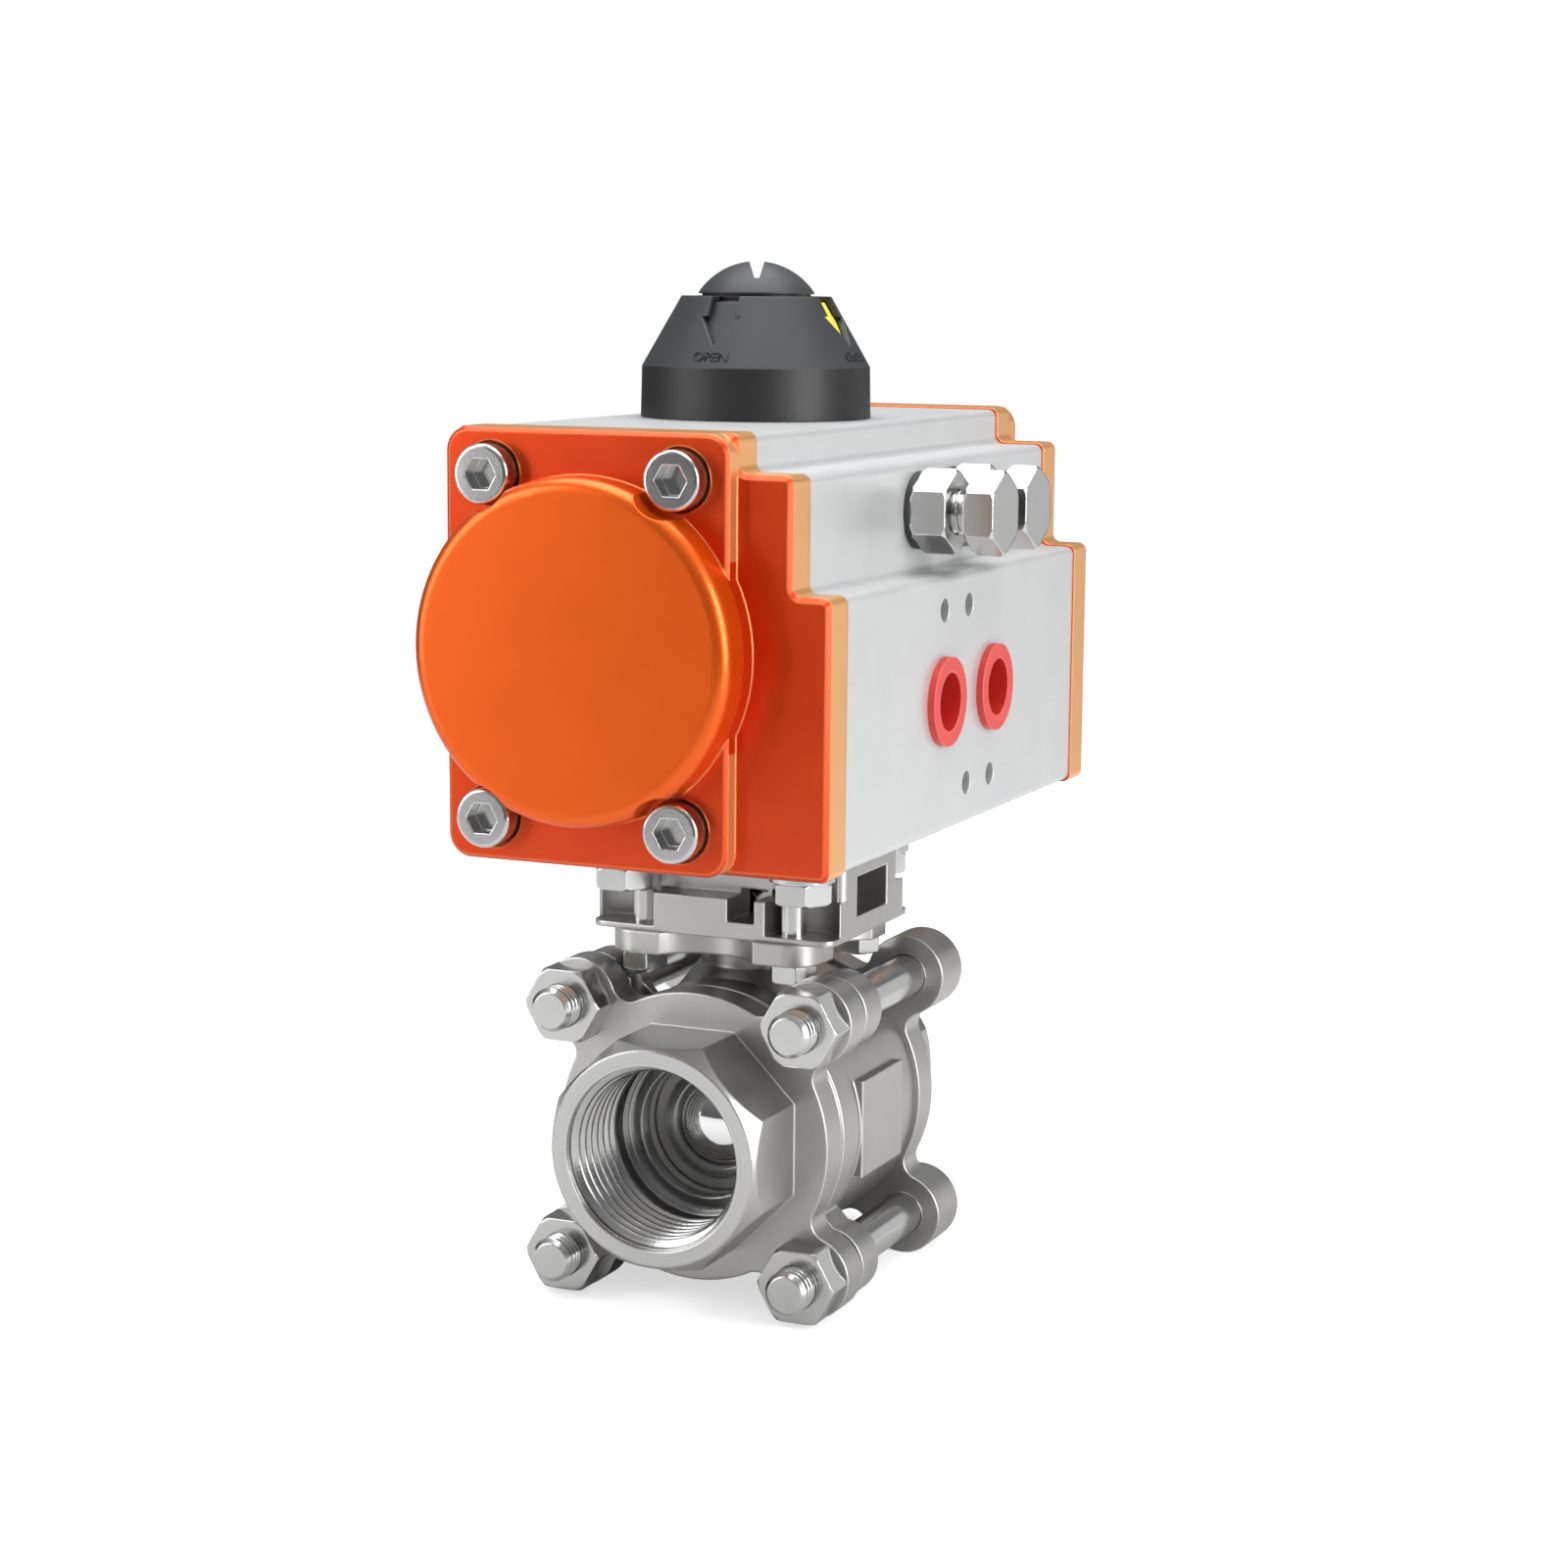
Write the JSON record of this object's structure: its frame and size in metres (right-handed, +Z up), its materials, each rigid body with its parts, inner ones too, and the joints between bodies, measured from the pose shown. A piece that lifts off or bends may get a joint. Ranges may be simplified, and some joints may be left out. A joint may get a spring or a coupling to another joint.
{
  "type": "pneumatic actuated ball valve",
  "caption": "Three-piece threaded stainless ball valve under a double-acting rack-and-pinion air actuator with stepped end caps, stop screws, air ports and a domed position indicator.",
  "frame": {"origin": "centre of the inlet port's mouth face", "axes": "+Y along the flow from inlet to outlet, +Z up along the stem to the indicator, +X towards the air ports and stop screws"},
  "size_m": [0.0823, 0.149, 0.1867],
  "materials": {
    "cap_orange": "orange anodised, semi-gloss",
    "anodised_body": "hard anodised, satin, with fine extrusion lines",
    "cast_stainless": "bead-blasted investment casting, machined at the ports",
    "bright_fastener": "bright stainless",
    "polished_ball": "mirror polished",
    "turned_steel": "turned",
    "piston_metal": "die cast",
    "black_rubber": "matt",
    "white_plastic": "smooth",
    "indicator_black": "satin moulded",
    "flag_yellow": "smooth",
    "plug_red": "smooth"
  },
  "bodies": {
    "housing": {"actuator_body": "anodised_body", "actuator_bolts": "bright_fastener", "bolt_washers": "bright_fastener", "bracket": "cast_stainless", "front_cap": "cap_orange", "front_cap_screws": "bright_fastener", "front_stop_nut": "bright_fastener", "front_stop_screw": "bright_fastener", "front_stop_seal": "black_rubber", "indicator_housing": "indicator_black", "inlet_end_cap": "cast_stainless", "inlet_seat": "white_plastic", "outlet_end_cap": "cast_stainless", "outlet_seat": "white_plastic", "packing_gland": "turned_steel", "pad_bolts": "bright_fastener", "pinion_lower_bush": "white_plastic", "pinion_upper_bush": "white_plastic", "port_plug_a": "plug_red", "port_plug_b": "plug_red", "rear_cap": "cap_orange", "rear_cap_screws": "bright_fastener", "rear_stop_nut": "bright_fastener", "rear_stop_screw": "bright_fastener", "rear_stop_seal": "black_rubber", "stem_packing": "white_plastic", "stem_thrust_washer": "white_plastic", "thrust_washer": "white_plastic", "tie_nuts": "bright_fastener", "tie_studs": "bright_fastener", "valve_body": "cast_stainless"},
    "drive": {"pinion": "turned_steel", "stop_cam": "turned_steel", "snap_ring": "bright_fastener", "drive_coupling": "turned_steel", "stem": "turned_steel", "stem_nut": "bright_fastener", "spring_washers": "bright_fastener", "ball": "polished_ball", "indicator_rotor": "indicator_black", "indicator_flags": "flag_yellow", "indicator_screw": "indicator_black"},
    "piston_front": {"front_piston": "piston_metal", "front_piston_seal": "black_rubber", "front_piston_guide": "white_plastic"},
    "piston_rear": {"rear_piston": "piston_metal", "rear_piston_seal": "black_rubber", "rear_piston_guide": "white_plastic"}
  },
  "joints": [
    {"name": "drive_turn", "type": "hinge", "parent": "housing", "child": "drive", "pos_m": [0, 0.0425, 0], "axis": [0, 0, 1], "range_deg": [0, 90]},
    {"name": "front_slide", "type": "slide", "parent": "housing", "child": "piston_front", "axis": [0, -1, 0], "range_m": [0, 0.01575]},
    {"name": "rear_slide", "type": "slide", "parent": "housing", "child": "piston_rear", "axis": [0, 1, 0], "range_m": [0, 0.01575]}
  ],
  "couplings": [
    {"joint": "front_slide", "follows": "drive_turn", "m_per_rad": 0.01},
    {"joint": "rear_slide", "follows": "drive_turn", "m_per_rad": 0.01}
  ]
}
